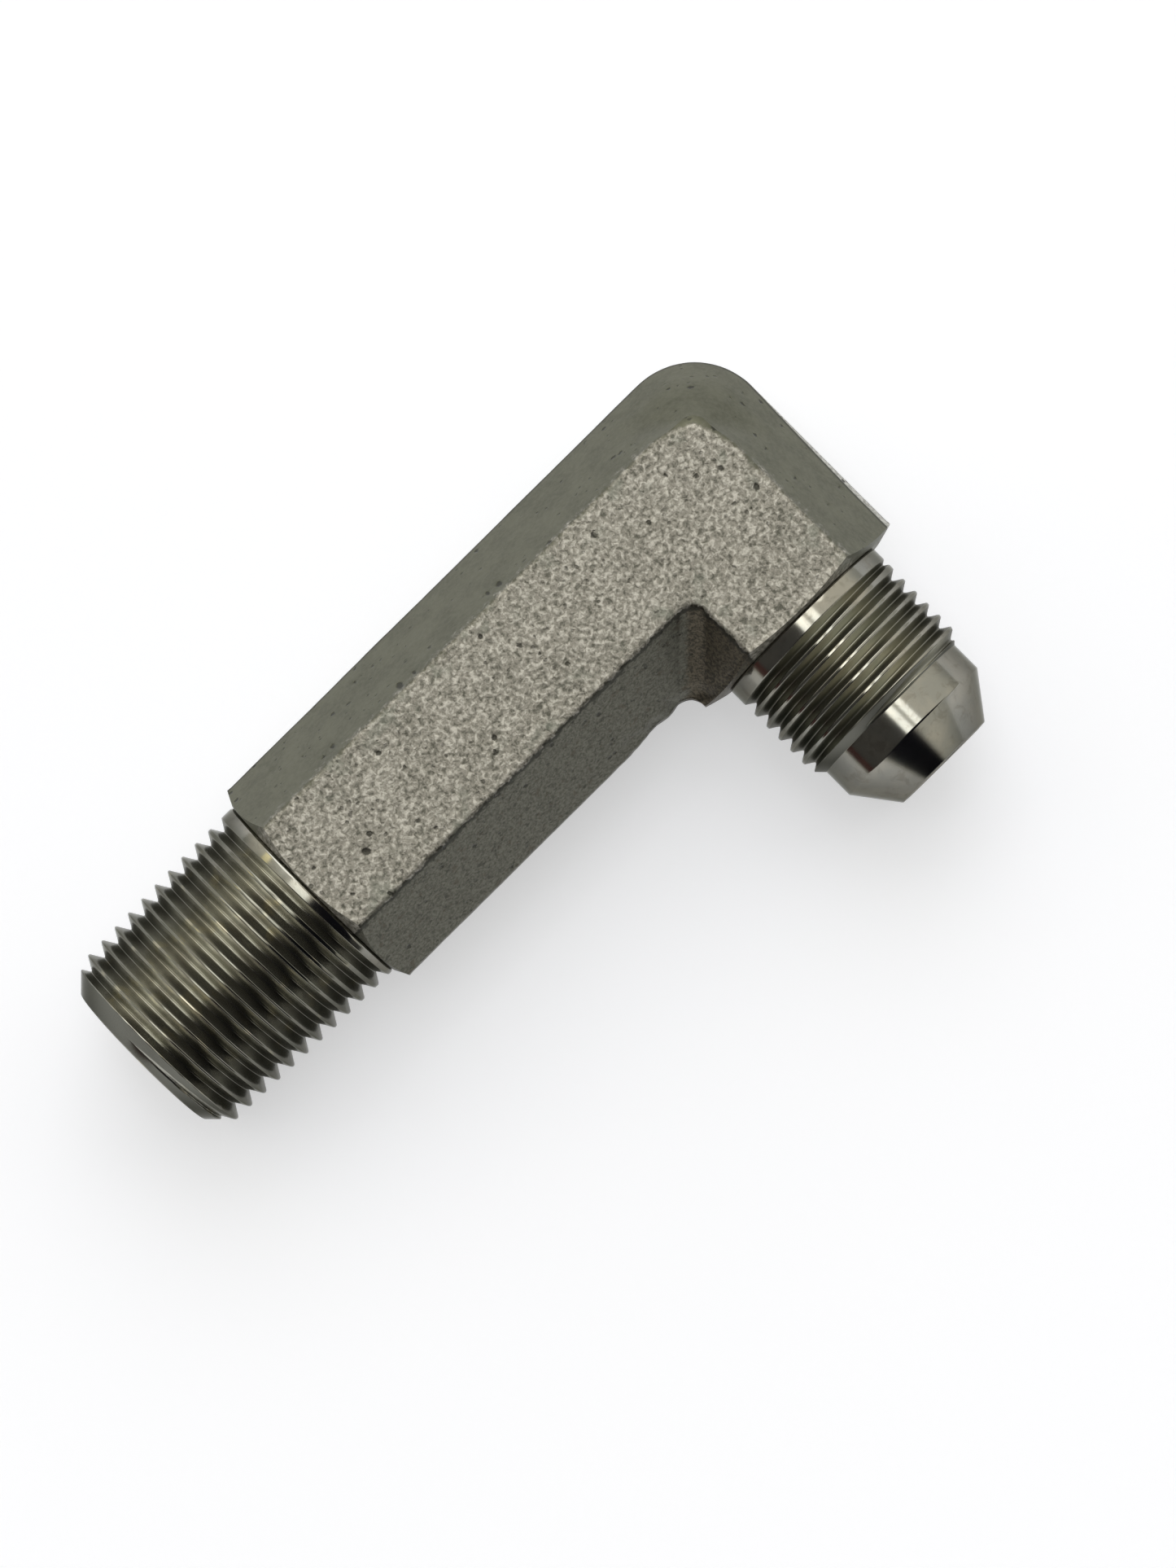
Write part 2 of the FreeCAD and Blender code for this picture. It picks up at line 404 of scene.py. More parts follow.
def drill_tool(name, radius, bottom, shoulder, axis):
    """The shape of a drilled hole with its pointed bottom, to cut from a shoulder in."""
    point = radius / math.tan(math.radians(DRILL_POINT_DEG / 2))
    mouth = shoulder + DRILL_OVERRUN
    half_way = (bottom - point * 0.5, radius * 0.5)
    outline = [(bottom - point, 0), half_way, (bottom, radius), (mouth, radius), (mouth, 0)]
    return revolved(name, outline, axis)


def cut_by(obj, tools):
    """Cuts the tools out of the object and removes them."""
    for tool in tools:
        cut = obj.modifiers.new("cut", "BOOLEAN")
        cut.operation = "DIFFERENCE"
        cut.object = tool
        cut.solver = "EXACT"
    depsgraph = bpy.context.evaluated_depsgraph_get()
    mesh = bpy.data.meshes.new_from_object(obj.evaluated_get(depsgraph))
    obj.modifiers.clear()
    obj.data = mesh
    for tool in tools:
        bpy.data.objects.remove(tool)


def mark_forged(mesh):
    """Tells the material how far outwards a place is, how deep in a pit and if it is drilled."""
    points = points_of(mesh)
    x, y, z = points.T
    in_pipe_bore = (np.hypot(y, z) < PIPE_BORE_R + BORE_WALL_MARGIN) & (x > -DRILL_REACH)
    in_flare_bore = (np.hypot(x, z) < FLARE_BORE_R + BORE_WALL_MARGIN) & (y > -DRILL_REACH)
    add_attribute(mesh, "outwards", outwards_of(points))
    add_attribute(mesh, "pit", pit_depth(points))
    add_attribute(mesh, "drilled", in_pipe_bore | in_flare_bore)


def forged_body():
    """The forged hexagonal elbow with its shot-blasted skin, turned shoulders and bores."""
    grid = forged_grid()
    pipe_rings = shoulder_rings(grid[0], 0, *PIPE_TURNING[:2])
    flare_rings = shoulder_rings(grid[-1], 1, *FLARE_TURNING[:2])
    rows = pipe_rings[::-1] + list(grid) + flare_rings
    columns = grid.shape[1]
    obj = mesh_object("forged_body", np.concatenate(rows), tube_faces(len(rows), columns))
    points = points_of(obj.data)
    first_skin = len(pipe_rings) * columns
    skin = slice(first_skin, first_skin + len(grid) * columns)
    depth = np.zeros(len(points))
    depth[skin] = relief_depth(points[skin]) * away_from_turning(points[skin])
    set_points(obj.data, points - normals_of(obj.data) * depth[:, None])
    cut_by(obj, [
        drill_tool("long_drill", PIPE_BORE_R, PIPE_BORE_BOTTOM, PIPE_SHOULDER, 0),
        drill_tool("flare_drill", FLARE_BORE_R, 0, FLARE_SHOULDER, 1),
    ])
    mark_forged(obj.data)
    return obj


# Turned and threaded ends

# Wear of the thread's edges, its 60 degree form, the turns in which a groove reaches its
# full depth, where round the axis it starts, and the rings where it runs out
EDGE_WEAR = 0.035
FLANK_TAN = math.tan(math.radians(30))
RUN_IN_TURNS = 0.5
START_TURN = -math.pi
RUN_OUT_RING = 0.04


class Thread:
    """A right-hand thread on a turned blank: where its groove starts and how deep it runs."""

    def __init__(self, pitch, depth, root_half, first_full, crest_r):
        self.pitch = pitch
        self.depth = depth
        self.root_half = root_half
        self.start = first_full - RUN_IN_TURNS * pitch
        self.crest_r = crest_r

    def root_place(self, turns):
        """Place of the groove's root along the axis, turns after its start."""
        return self.start + self.pitch * turns

    def fullness(self, turns):
        """0 before the groove starts and 1 where it has its full depth."""
        return min(1, max(0, turns / RUN_IN_TURNS))

    def groove_r(self, place, turns):
        """Radius of the groove that has its root there, at a place along the axis."""
        full = self.fullness(turns)
        away = place - self.root_place(turns)
        round_half = self.root_half * full + 0.001
        rise = (math.hypot(away, round_half) - round_half) / FLANK_TAN
        return self.crest_r(place) - self.depth * full + rise


class ThreadedEnd:
    """A closed ring-shaped solid: collar, thread, tail and bore, wound as a grid whose
    columns hold the same corners of the groove, one pitch further on after each turn.
    skin_r is the radius of the crests and collar, and blank_r has the lead chamfer too.
    The tail is a list of (place, radius) points, with no radius where the thread is cut."""

    def __init__(self, thread, collar, skin_r, blank_r, grooves_end, lead_end, tail):
        self.thread = thread
        self.collar = collar
        self.skin_r = skin_r
        self.blank_r = blank_r
        self.grooves_end = grooves_end
        self.lead_end = lead_end
        self.tail = tail
        half_width = thread.root_half + thread.depth * FLANK_TAN
        threaded = grooves_end - thread.start + half_width
        self.turns_count = math.ceil(threaded / thread.pitch) + 1

    def cut_r(self, place, column_turns):
        """Radius left by every turn of the groove, that far round the solid."""
        thread = self.thread
        radius = self.blank_r(place)
        for turn in range(self.turns_count):
            turns = column_turns + turn
            if thread.fullness(turns) > 0 and abs(place - thread.root_place(turns)) < thread.pitch:
                radius = min(radius, thread.groove_r(place, turns))
        return radius

    def worn_r(self, place, column_turns):
        """The cut radius with its sharp edges worn a little round."""
        before = self.cut_r(place - EDGE_WEAR, column_turns)
        after = self.cut_r(place + EDGE_WEAR, column_turns)
        return min(self.cut_r(place, column_turns), (before + after) / 2)

    def group_places(self, turns):
        """Places of the corners of one groove: its two edges, flanks and root."""
        thread = self.thread
        full = thread.fullness(turns)
        root = thread.root_place(turns)
        edge_r = min(self.blank_r(root), thread.crest_r(thread.start))
        rise = max(0, edge_r - (thread.crest_r(root) - thread.depth * full))
        root_half = thread.root_half * full
        width = root_half + rise * FLANK_TAN
        soft = EDGE_WEAR * full
        side = [0.35 * root_half, 0.8 * root_half, 1.6 * root_half, (width + 1.6 * root_half) / 2]
        side += [width - soft, width, width + soft, width + 1.6 * soft]
        offsets = np.maximum.accumulate([-o for o in side[::-1]] + [0] + side)
        return [min(max(root + o, thread.start), self.grooves_end) for o in offsets]

    def groove_mark(self, place, radius):
        """Depth under the crests, 0 on plain turned faces, 2 on the lead chamfer and -1 in
        the bore."""
        if radius == self.tail[-1][1]:
            return -1
        if not self.thread.start < place < self.lead_end:
            return 0
        if place > self.grooves_end and radius > self.blank_r(place) - 0.03:
            return 2
        return self.skin_r(place) - radius

    def column(self, column_turns):
        """(place, radius) points from the collar to the bore, that far round the solid."""
        places = list(self.collar)
        for turn in range(self.turns_count):
            places += self.group_places(column_turns + turn)
        places = [(place, None) for place in places] + self.tail
        return [
            (place, self.worn_r(place, column_turns) if radius is None else radius)
            for place, radius in places
        ]

    def faces(self, rows_of):
        """Faces between neighbouring columns. The last column meets the first one a pitch
        further on, so it leaves out its last group and the first column its first."""
        group = len(self.group_places(0))
        head = len(self.collar)
        threaded = head + group * self.turns_count
        faces = []
        for j in range(SEGMENTS):
            left = rows_of[j]
            right = rows_of[(j + 1) % SEGMENTS]
            if j == SEGMENTS - 1:
                left = left[:threaded - group] + left[threaded:]
                right = right[:head] + right[head + group:]
            for i in range(len(left)):
                k = (i + 1) % len(left)
                corners = [left[i], right[i], right[k], left[k]]
                face = [c for n, c in enumerate(corners) if c != corners[n - 1]]
                if len(set(face)) == len(face) and len(face) > 2:
                    faces.append(face)
        return faces

    def build(self, name, to_frame):
        """The mesh object. Rows of a column that fall on one place share one point."""
        points = []
        marks = []
        rows_of = []
        for j in range(SEGMENTS):
            angle = START_TURN + 2 * math.pi * j / SEGMENTS
            numbers = {}
            rows = []
            for place, radius in self.column(j / SEGMENTS):
                key = (round(place, 6), round(radius, 6))
                if key not in numbers:
                    numbers[key] = len(points)
                    points.append(to_frame(place, radius, angle))
                    marks.append(self.groove_mark(place, radius))
                rows.append(numbers[key])
            rows_of.append(rows)
        obj = mesh_object(name, points, self.faces(rows_of))
        add_attribute(obj.data, "groove", marks)
        return obj


def about_x(place, radius, turn):
    """A point of the long leg's turned end, so far round its axis."""
    return (place, radius * math.cos(turn), radius * math.sin(turn))


def about_y(place, radius, turn):
    """A point of the short leg's turned end, so far round its axis."""
    return (radius * math.sin(turn), place, radius * math.cos(turn))


def turned_outline(corners):
    """(place, radius) points along a turned outline with softened corners: each corner
    but the first and last is broken by its own width, its third number, with a ring close
    on either side so that the long faces stay true."""
    outline = []
    for before, corner, after in zip(corners, corners[1:], corners[2:]):
        here = np.array(corner[:2])
        for other, shares in ((before, (2.2, 1.0)), (after, (1.0, 2.2))):
            way = np.array(other[:2]) - here
            way /= np.linalg.norm(way)
            outline += [tuple(here + way * corner[2] * share) for share in shares]
    return outline


def rounded_step(place, shoulder, collar_r, edge):
    """Radius of a collar that rises over a rounded edge from its shoulder."""
    along = min(1, (place - shoulder) / edge)
    return collar_r - edge + edge * math.sqrt(max(0, 1 - (1 - along) ** 2))


def step_rings(shoulder, edge, steps):
    """Places of the rings over a collar's rounded edge."""
    return [shoulder + edge * k / steps for k in range(steps + 1)]


def run_out_rings(grooves_end, count):
    """Places past the last whole groove where the thread is still cut."""
    return [(grooves_end + RUN_OUT_RING * k, None) for k in range(count)]


# Pipe-thread end
PIPE_PITCH = INCH / 14
PIPE_GROOVE_DEPTH = 1.28
PIPE_ROOT_HALF = 0.085
PIPE_FIRST_FULL = 51.97
PIPE_END = 73.2
PIPE_END_PITCH_DIAMETER = 19.264
PIPE_END_CREST_R = (PIPE_END_PITCH_DIAMETER + 0.8 * PIPE_PITCH) / 2
PIPE_TAPER = 32
PIPE_COLLAR_R = 10.81
PIPE_COLLAR_EDGE = 0.45
PIPE_LEAD_R = PIPE_END_CREST_R - 2.05
PIPE_LEAD_LENGTH = 2.15
PIPE_PLAIN_TIP = 0.7
PIPE_MOUTH_CHAMFER = 0.4


def pipe_crest_r(place):
    """Radius of the tapered crests."""
    return PIPE_END_CREST_R + (PIPE_END - place) / PIPE_TAPER


def pipe_skin_r(place):
    """Radius of the collar and the crests."""
    collar_r = rounded_step(place, PIPE_SHOULDER, PIPE_COLLAR_R, PIPE_COLLAR_EDGE)
    return min(collar_r, pipe_crest_r(place))


def pipe_blank_r(place):
    """Radius of the blank: the skin and the lead chamfer of 45 degrees."""
    return min(pipe_skin_r(place), PIPE_LEAD_R + PIPE_END - place)


def pipe_end():
    """The tapered pipe thread with its collar, lead chamfer and wide bore, along X."""
    form = (PIPE_PITCH, PIPE_GROOVE_DEPTH, PIPE_ROOT_HALF)
    thread = Thread(*form, PIPE_FIRST_FULL, pipe_crest_r)
    collar = step_rings(PIPE_SHOULDER, PIPE_COLLAR_EDGE, 5) + [thread.start]
    grooves_end = PIPE_END - PIPE_LEAD_LENGTH
    tail = run_out_rings(grooves_end, 36)
    tail += turned_outline([
        (PIPE_END - PIPE_PLAIN_TIP, PIPE_LEAD_R + PIPE_PLAIN_TIP),
        (PIPE_END, PIPE_LEAD_R, 0.06),
        (PIPE_END, PIPE_BORE_R + PIPE_MOUTH_CHAMFER, 0.04),
        (PIPE_END - PIPE_MOUTH_CHAMFER, PIPE_BORE_R, 0.04),
        (PIPE_SHOULDER, PIPE_BORE_R),
    ])
    tail.append((PIPE_SHOULDER, PIPE_BORE_R))

    lead_end = PIPE_END - 0.05
    end = ThreadedEnd(thread, collar, pipe_skin_r, pipe_blank_r, grooves_end, lead_end, tail)
    return end.build("pipe_thread", about_x)


# Flare-thread end
FLARE_PITCH = INCH / 16
FLARE_GROOVE_DEPTH = 0.9
FLARE_ROOT_HALF = 0.145
FLARE_FIRST_FULL = 16.62
FLARE_THREAD_R = 9.5
FLARE_COLLAR_EDGE = 0.25
FLARE_THREAD_END = FLARE_SHOULDER + 10.9
FLARE_STEP = 1.0
FLARE_LAST_RING = FLARE_THREAD_END + 1.08
NOSE_R = 8.5
NOSE_NECK = 3.05
NOSE_BASE = FLARE_THREAD_END + FLARE_STEP + NOSE_NECK
NOSE_TIP_R = 5.4
NOSE_DEG = 37
FLARE_END = NOSE_BASE + (NOSE_R - NOSE_TIP_R) / math.tan(math.radians(NOSE_DEG))


def flare_crest_r(place):
    """Radius of the straight crests."""
    return FLARE_THREAD_R


def flare_skin_r(place):
    """Radius of the collar and the crests."""
    return rounded_step(place, FLARE_SHOULDER, FLARE_THREAD_R, FLARE_COLLAR_EDGE)


def flare_blank_r(place):
    """Radius of the blank: the skin, the step of 45 degrees and the nose's neck."""
    return min(flare_skin_r(place), max(NOSE_R, FLARE_THREAD_R + FLARE_THREAD_END - place))


def flare_end():
    """The straight thread with its collar, flare nose and narrow bore, along Y."""
    form = (FLARE_PITCH, FLARE_GROOVE_DEPTH, FLARE_ROOT_HALF)
    thread = Thread(*form, FLARE_FIRST_FULL, flare_crest_r)
    collar = step_rings(FLARE_SHOULDER, FLARE_COLLAR_EDGE, 4)
    collar += [(FLARE_SHOULDER + thread.start) / 2, thread.start]
    grooves_end = FLARE_THREAD_END - 0.1
    tail = run_out_rings(grooves_end, 29)
    tail.append((FLARE_LAST_RING, NOSE_R))
    tail += turned_outline([
        (FLARE_LAST_RING, NOSE_R),
        (NOSE_BASE, NOSE_R, 0.06),
        (FLARE_END, NOSE_TIP_R, 0.06),
        (FLARE_END, FLARE_BORE_R, 0.08),
        (FLARE_SHOULDER, FLARE_BORE_R),
    ])
    tail.append((FLARE_SHOULDER, FLARE_BORE_R))

    lead_end = FLARE_THREAD_END + FLARE_STEP
    end = ThreadedEnd(thread, collar, flare_skin_r, flare_blank_r, grooves_end, lead_end, tail)
    return end.build("flare_thread", about_y)


# Materials

class Nodes:
    """Short ways to add and link shader nodes. A value is a number, a colour or an output."""

    def __init__(self, tree):
        self.tree = tree
        tree.nodes.clear()

    def add(self, kind):
        """A new node."""
        return self.tree.nodes.new(kind)

    def link(self, out, into):
        """Links an output to an input."""
        self.tree.links.new(out, into)

    def feed(self, socket, value):
        """Sets an input to a number or a colour, or links it to an output."""
        if isinstance(value, (int, float)):
            socket.default_value = value
        elif isinstance(value, tuple):
            socket.default_value = (*value, 1)
        else:
            self.link(value, socket)

    def math(self, operation, a, b=0.0, c=0.0):
        """One step of arithmetic."""
        node = self.add("ShaderNodeMath")
        node.operation = operation
        for socket, value in zip(node.inputs, (a, b, c)):
            self.feed(socket, value)
        return node.outputs[0]

    def plus(self, a, b):
        """Their sum."""
        return self.math("ADD", a, b)

    def minus(self, a, b):
        """Their difference."""
        return self.math("SUBTRACT", a, b)

    def times(self, a, b):
        """Their product."""
        return self.math("MULTIPLY", a, b)

    def times_plus(self, a, b, c):
        """The product of the first two, plus the third."""
        return self.math("MULTIPLY_ADD", a, b, c)

    def larger(self, a, b):
        """The larger of the two."""
        return self.math("MAXIMUM", a, b)

    def remap(self, value, low, high, to_low=0.0, to_high=1.0):
        """A smooth step from to_low to to_high while the value goes from low to high."""
        node = self.add("ShaderNodeMapRange")
        node.interpolation_type = "SMOOTHSTEP"
        for socket, v in zip(node.inputs, (value, low, high, to_low, to_high)):
            self.feed(socket, v)
        return node.outputs[0]

    def choose(self, factor, at_0, at_1):
        """The first value where the factor is 0 and the second where it is 1."""
        return self.remap(factor, 0, 1, at_0, at_1)

    def within(self, value, low, high, soft):
        """1 between low and high and 0 past them, with soft borders."""
        rise = self.remap(value, low - soft, low + soft)
        fall = self.remap(value, high + soft, high - soft)
        return self.times(rise, fall)

    def mix(self, factor, a, b, blend="MIX"):
        """The first colour where the factor is 0 and the second where it is 1."""
        node = self.add("ShaderNodeMix")
        node.data_type = "RGBA"
        node.blend_type = blend
        self.feed(node.inputs[0], factor)
        self.feed(node.inputs[6], a)
        self.feed(node.inputs[7], b)
        return node.outputs[2]

    def tint(self, colour, where, strength, tint):
        """The colour with a tint laid over it, as strong as given where that is 1."""
        return self.mix(self.times(where, strength), colour, tint)

    def noise(self, place, scale, detail=2.0, roughness=0.5, distortion=0.0):
        """Cloudy noise around 0.5, with scale grains to the millimetre."""
        node = self.add("ShaderNodeTexNoise")
        self.link(place, node.inputs["Vector"])
        node.inputs["Scale"].default_value = scale
        node.inputs["Detail"].default_value = detail
        node.inputs["Roughness"].default_value = roughness
        node.inputs["Distortion"].default_value = distortion
        return node.outputs["Fac"]

    def voronoi(self, place, scale):
        """Distance to the nearest of many scattered points."""
        node = self.add("ShaderNodeTexVoronoi")
        self.link(place, node.inputs["Vector"])
        node.inputs["Scale"].default_value = scale
        return node.outputs["Distance"]

    def warped(self, place, scale, amount):
        """The place pushed about by a smooth random amount, for ragged shapes."""
        random_push = self.add("ShaderNodeTexNoise")
        self.link(place, random_push.inputs["Vector"])
        random_push.inputs["Scale"].default_value = scale
        push = self.add("ShaderNodeVectorMath")
        push.operation = "MULTIPLY_ADD"
        self.link(random_push.outputs["Color"], push.inputs[0])
        push.inputs[1].default_value = (amount, amount, amount)
        self.link(place, push.inputs[2])
        return push.outputs[0]

    def pits(self, place, spacing, radius, share):
        """1 in the pits of a random layer with that spacing and radius, and 0 between."""
        away = self.times(self.voronoi(place, 1 / spacing), spacing)
        inside = self.remap(away, radius, radius * 0.5)
        chosen = self.noise(place, 0.37 / spacing, 0, 0)
        return self.times(inside, self.remap(chosen, 1 - share - 0.03, 1 - share + 0.03))

    def place_mm(self):
        """Place on the part, in millimetres."""
        coordinates = self.add("ShaderNodeTexCoord")
        scale = self.add("ShaderNodeVectorMath")
        scale.operation = "SCALE"
        scale.inputs["Scale"].default_value = 1 / MM
        self.link(coordinates.outputs["Object"], scale.inputs[0])
        return scale.outputs[0]

    def split(self, place):
        """The three coordinates of a place."""
        node = self.add("ShaderNodeSeparateXYZ")
        self.link(place, node.inputs[0])
        return node.outputs

    def attribute(self, name):
        """A number that is stored in the mesh."""
        node = self.add("ShaderNodeAttribute")
        node.attribute_name = name
        return node.outputs["Fac"]

    def bump(self, height, strength, distance_mm):
        """The normal of a surface with that fine relief."""
        node = self.add("ShaderNodeBump")
        node.inputs["Strength"].default_value = strength
        node.inputs["Distance"].default_value = distance_mm * MM
        self.link(height, node.inputs["Height"])
        return node.outputs[0]


def new_material(name):
    """A material with an empty tree of nodes but for its shader."""
    material = bpy.data.materials.new(name)
    material.use_nodes = True
    nodes = Nodes(material.node_tree)
    shader = nodes.add("ShaderNodeBsdfPrincipled")
    output = nodes.add("ShaderNodeOutputMaterial")
    nodes.link(shader.outputs[0], output.inputs[0])
    return material, nodes, shader


# Colours of the forged skin. A pair is a darker and a lighter tone of one surface.
# The flats' tones follow the grain's relief: partly the grain's own tone, partly painted shade in
# its hollows and painted highlight on its tops.
FLAT_HOLLOW_SHADE = (0.12, 0.118, 0.096)
FLAT_MIDDLE = (0.305, 0.291, 0.251)
FLAT_TOP_HIGHLIGHT = (0.56, 0.541, 0.486)
FLAT_GREEN = (0.22, 0.235, 0.195)
OUTER_BEVEL = ((0.098, 0.100, 0.070), (0.126, 0.128, 0.091))
OUTER_MOTTLE = (0.162, 0.162, 0.122)
INNER_BEVEL = ((0.08, 0.08, 0.06), (0.175, 0.172, 0.138))
BROWN_SPOT = (0.075, 0.06, 0.04)
BLOTCH = (0.03, 0.029, 0.022)
# Painted shade with a brown stain beside the crook
CROOK_SHADE_STAIN = ((0.042, 0.035, 0.024), (0.145, 0.12, 0.08))
# Painted shadow under the flats' edges
LIP_SHADOW = (0.03, 0.03, 0.022)
PARTING_LINE = (0.035, 0.035, 0.028)
TRIMMED_STRIP = ((0.3, 0.3, 0.27), (0.6, 0.6, 0.56))
PIT_FLOOR = (0.035, 0.035, 0.027)
BORE_WALL = ((0.30, 0.29, 0.25), (0.38, 0.365, 0.32))


def flat_grain(n, place):
    """The shot-blasted grain of the flats, low in its hollows and high on its tops."""
    speckle = n.noise(place, 2.1, 2.5, 0.55, 0.45)
    fine = n.noise(place, 5.0, 2.0, 0.6, 0.4)
    grain = n.times_plus(fine, 0.3, n.times(speckle, 0.8))
    patchy = n.noise(place, 0.3, 2.0, 0.5)
    return n.times_plus(n.minus(patchy, 0.5), 0.12, grain)


def flat_colour(n, place, grain, border):
    """Colour of the flats: the grain's speckle, partly its own tone and partly painted shade in
    its hollows and painted highlight on its tops, and a green cast near the border.
    """
    colour = n.mix(n.remap(grain, 0.37, 0.56), FLAT_HOLLOW_SHADE, FLAT_MIDDLE)
    colour = n.mix(n.remap(grain, 0.53, 0.72), colour, FLAT_TOP_HIGHLIGHT)
    green = n.times(n.remap(n.noise(place, 0.45, 2, 0.5), 0.5, 0.7), n.remap(border, 4, 0.5))
    return n.tint(colour, green, 0.5, FLAT_GREEN)


def outer_bevel_colour(n, place, mottle):
    """Colour of the smooth outer bevels."""
    cloud = n.noise(place, 0.35, 3.0, 0.6)
    colour = n.mix(n.remap(cloud, 0.35, 0.65), *OUTER_BEVEL)
    return n.tint(colour, n.remap(mottle, 0.3, 0.7), 0.45, OUTER_MOTTLE)


def inner_bevel_colour(n, place, small_mottle, ragged):
    """Colour of the darker bevels between the legs, with painted shade and a brown stain beside
    the crook on the short leg's side.
    """
    x, y, _ = n.split(place)
    colour = n.mix(n.remap(small_mottle, 0.3, 0.7), *INNER_BEVEL)
    colour = n.tint(colour, n.remap(n.noise(place, 1.3, 1, 0.5), 0.64, 0.7), 0.5, BROWN_SPOT)
    blotches = n.remap(n.noise(place, 1.9, 2, 0.6, 0.5), 0.58, 0.68)
    colour = n.tint(colour, blotches, 0.55, BLOTCH)
    # Painted shade with a brown stain: the bevels beside the crook are darkened where X is past Y,
    # fading out between X 14 and 30 mm.
    from_crease = n.times_plus(ragged, 2.0, n.minus(y, x))
    crook_shade = n.times(n.remap(from_crease, -1.4, -0.2), n.remap(x, 30, 14))
    shade_stain_colour = n.mix(n.remap(small_mottle, 0.4, 0.6), *CROOK_SHADE_STAIN)
    return n.tint(colour, crook_shade, 0.8, shade_stain_colour)


def all_pits(n, place):
    """1 in every pit: two random layers and the notable pits of the mesh."""
    large = n.pits(n.warped(place, 2.2, 0.5), 2.2, 0.34, 0.5)
    small = n.pits(n.warped(place, 3.0, 0.5), 1.1, 0.23, 0.45)
    pits = n.larger(large, n.times(small, 0.6))
    return n.larger(pits, n.remap(n.attribute("pit"), 0.03, 0.08))


def with_parting(n, place, colour, outwards, ragged, small_mottle):
    """The colour with the dark parting line, and past it the pale strip of trimmed steel
    that widens along the short leg's outer side."""
    x, y, _ = n.split(place)
    from_edge = n.minus(SIDE_HALF_WIDTH - 0.02, outwards)
    strip = n.times(n.remap(y, -10, 12, 0, 0.46), n.remap(x, -9, -10))
    wave = n.times_plus(ragged, 0.08, n.minus(from_edge, strip))
    parting = n.times(n.remap(wave, -0.03, 0.03), n.remap(wave, 0.22, 0.1))
    colour = n.tint(colour, parting, 0.7, PARTING_LINE)
    trimmed = n.mix(n.remap(small_mottle, 0.35, 0.65), *TRIMMED_STRIP)
    on_strip = n.times(n.remap(wave, 0.0, -0.05), n.remap(strip, 0.04, 0.1))
    return n.mix(on_strip, colour, trimmed)


def forged_material():
    """Shot-blasted flats with a coarse pale speckle, partly painted shade and highlight, darker
    and smoother bevels, a painted shadow under the flats' edges and painted shade with a brown
    stain beside the crook.
    """
    material, n, shader = new_material("forged_steel")
    place = n.place_mm()
    x, y, _ = n.split(place)
    outwards = n.attribute("outwards")
    drilled = n.attribute("drilled")
    inner = n.remap(outwards, -4, -6)
    ragged = n.minus(n.noise(place, 1.3, 3, 0.6), 0.5)
    mottle = n.noise(place, 2.2, 3.0, 0.6, 0.4)
    small_mottle = n.noise(place, 3.4, 3.0, 0.65, 0.6)
    grain = flat_grain(n, place)
    pits = all_pits(n, place)

    border = n.minus(FLAT_HALF_WIDTH, n.math("ABSOLUTE", outwards))
    blunt = n.times(n.remap(n.plus(x, y), -6.5, -11.5), -BLUNT_CORNER)
    edge = n.times_plus(ragged, n.choose(inner, 2.2, 0.9), n.plus(border, blunt))
    on_flat = n.remap(edge, n.choose(inner, -0.5, -0.12), n.choose(inner, 0.5, 0.05))
    # Painted shadow: a dark line on the bevel just under the flat's edge, strong on the inner
    # bevels and faint on the outer ones.
    lip_shadow = n.times(n.remap(edge, -0.4, -0.2), n.remap(edge, 0.08, -0.08))

    outside = outer_bevel_colour(n, place, mottle)
    bevel = n.mix(inner, outside, inner_bevel_colour(n, place, small_mottle, ragged))
    colour = n.mix(on_flat, bevel, flat_colour(n, place, grain, border))
    colour = n.tint(colour, lip_shadow, n.choose(inner, 0.12, 0.85), LIP_SHADOW)
    colour = with_parting(n, place, colour, outwards, ragged, small_mottle)
    colour = n.tint(colour, pits, 0.85, PIT_FLOOR)
    colour = n.mix(drilled, colour, n.mix(mottle, *BORE_WALL))

    height = n.times(grain, n.times_plus(on_flat, 0.85, 0.15))
    height = n.times(n.minus(height, pits), n.minus(1, drilled))
    rough = n.choose(on_flat, 0.5, 0.56)
    n.link(colour, shader.inputs["Base Color"])
    n.link(n.times_plus(drilled, -0.2, rough), shader.inputs["Roughness"])
    n.link(n.bump(height, 0.7, 0.1), shader.inputs["Normal"])
    shader.inputs["Metallic"].default_value = 0.8
    return material


# Colours of the turned steel
BRIGHT = ((0.29, 0.29, 0.26), (0.36, 0.345, 0.295))
BRIGHT_FINE = (0.25, 0.24, 0.20)
SMUDGE = (0.19, 0.175, 0.14)
FLARE_FLANK = ((0.29, 0.29, 0.243), (0.33, 0.32, 0.262))
PIPE_FLANK = (0.42, 0.415, 0.365)
PIPE_CREST = (0.19, 0.19, 0.16)
GRIME = (0.27, 0.26, 0.224)
# Golden patches: partly a yellow plating tint, partly a painted glint
GOLDEN_TINT_GLINT = (0.56, 0.52, 0.38)
LEAD_CHAMFER = (0.15, 0.15, 0.13)
# Painted shade multiplied into the sides of the turned ends
PLAIN_SIDE_SHADE = (0.5, 0.5, 0.5)
GROOVE_SIDE_SHADE = (0.3, 0.3, 0.3)
PLATING_TINT = (0.6, 0.6, 0.57, 1)


def bright_colour(n, cloud, fine, place):
    """Colour of the crests, collars and nose, with small dark smudges."""
    colour = n.mix(n.remap(cloud, 0.35, 0.65), *BRIGHT)
    colour = n.tint(colour, fine, 0.2, BRIGHT_FINE)
    smudges = n.remap(n.noise(place, 0.8, 4, 0.65, 0.5), 0.5, 0.66)
    return n.tint(colour, smudges, 0.4, SMUDGE)


